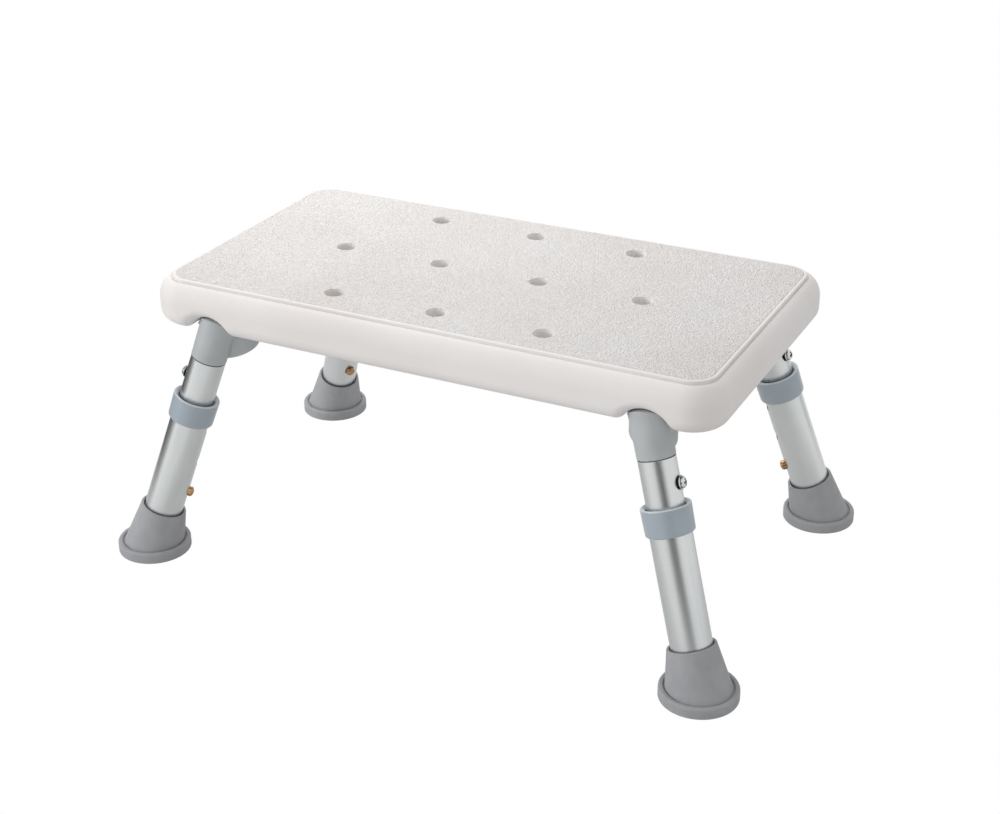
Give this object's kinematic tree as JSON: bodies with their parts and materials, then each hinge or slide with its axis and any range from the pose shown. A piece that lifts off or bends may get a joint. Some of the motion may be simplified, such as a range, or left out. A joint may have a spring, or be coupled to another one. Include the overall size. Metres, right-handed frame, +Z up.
{
  "type": "shower stool",
  "caption": "Low height-adjustable shower stool: hollow moulded seat with drain holes on splayed telescopic aluminium legs with collars, snap buttons and rubber feet.",
  "frame": {"origin": "on the floor, under the middle of the seat", "axes": "+X along the seat's length to the right, +Y to the back, +Z up"},
  "size_m": [0.4834, 0.311, 0.21],
  "materials": {
    "seat": "off-white polyethylene, satin sides and a fine pebbled panel",
    "socket": "grey nylon, satin",
    "collar": "blue-grey nylon, semi-gloss",
    "tube": "satin anodised, drawn along its length",
    "foot": "mid-grey rubber, matt",
    "button": "copper-coloured, polished",
    "spring": "spring steel and zinc-plated steel",
    "steel": "bright stainless screws",
    "brass": "turned brass"
  },
  "bodies": {
    "stool_top": {"seat": "seat", "leg_socket_front_left": "socket", "seat_bolt_front_left": "steel", "seat_insert_front_left": "brass", "inner_tube_front_left": "tube", "tube_screw_front_left": "steel", "button_spring_front_left": "spring", "leg_socket_front_right": "socket", "seat_bolt_front_right": "steel", "seat_insert_front_right": "brass", "inner_tube_front_right": "tube", "tube_screw_front_right": "steel", "button_spring_front_right": "spring", "leg_socket_back_left": "socket", "seat_bolt_back_left": "steel", "seat_insert_back_left": "brass", "inner_tube_back_left": "tube", "tube_screw_back_left": "steel", "button_spring_back_left": "spring", "leg_socket_back_right": "socket", "seat_bolt_back_right": "steel", "seat_insert_back_right": "brass", "inner_tube_back_right": "tube", "tube_screw_back_right": "steel", "button_spring_back_right": "spring"},
    "lower_leg_front_left": {"outer_tube_front_left": "tube", "collar_front_left": "collar", "foot_front_left": "foot", "foot_disc_front_left": "spring"},
    "locking_button_front_left": {"snap_button_front_left": "button"},
    "lower_leg_front_right": {"outer_tube_front_right": "tube", "collar_front_right": "collar", "foot_front_right": "foot", "foot_disc_front_right": "spring"},
    "locking_button_front_right": {"snap_button_front_right": "button"},
    "lower_leg_back_left": {"outer_tube_back_left": "tube", "collar_back_left": "collar", "foot_back_left": "foot", "foot_disc_back_left": "spring"},
    "locking_button_back_left": {"snap_button_back_left": "button"},
    "lower_leg_back_right": {"outer_tube_back_right": "tube", "collar_back_right": "collar", "foot_back_right": "foot", "foot_disc_back_right": "spring"},
    "locking_button_back_right": {"snap_button_back_right": "button"}
  },
  "joints": [
    {"name": "leg_slide_front_left", "type": "slide", "parent": "stool_top", "child": "lower_leg_front_left", "axis": [-0.292, -0.1618, -0.9426], "range_m": [0, 0.05304], "deforming": ["snap_button_front_left", "button_spring_front_left"]},
    {"name": "button_press_front_left", "type": "slide", "parent": "stool_top", "child": "locking_button_front_left", "axis": [-0.8245, -0.457, 0.3338], "range_m": [0, 0.0053], "stiffness_N_per_m": 1500, "deforming": ["button_spring_front_left"]},
    {"name": "leg_slide_front_right", "type": "slide", "parent": "stool_top", "child": "lower_leg_front_right", "axis": [0.292, -0.1618, -0.9426], "range_m": [0, 0.05304], "deforming": ["snap_button_front_right", "button_spring_front_right"]},
    {"name": "button_press_front_right", "type": "slide", "parent": "stool_top", "child": "locking_button_front_right", "axis": [0.8245, -0.457, 0.3338], "range_m": [0, 0.0053], "stiffness_N_per_m": 1500, "deforming": ["button_spring_front_right"]},
    {"name": "leg_slide_back_left", "type": "slide", "parent": "stool_top", "child": "lower_leg_back_left", "axis": [-0.292, 0.1618, -0.9426], "range_m": [0, 0.05304], "deforming": ["snap_button_back_left", "button_spring_back_left"]},
    {"name": "button_press_back_left", "type": "slide", "parent": "stool_top", "child": "locking_button_back_left", "axis": [-0.8245, 0.457, 0.3338], "range_m": [0, 0.0053], "stiffness_N_per_m": 1500, "deforming": ["button_spring_back_left"]},
    {"name": "leg_slide_back_right", "type": "slide", "parent": "stool_top", "child": "lower_leg_back_right", "axis": [0.292, 0.1618, -0.9426], "range_m": [0, 0.05304], "deforming": ["snap_button_back_right", "button_spring_back_right"]},
    {"name": "button_press_back_right", "type": "slide", "parent": "stool_top", "child": "locking_button_back_right", "axis": [0.8245, 0.457, 0.3338], "range_m": [0, 0.0053], "stiffness_N_per_m": 1500, "deforming": ["button_spring_back_right"]}
  ]
}
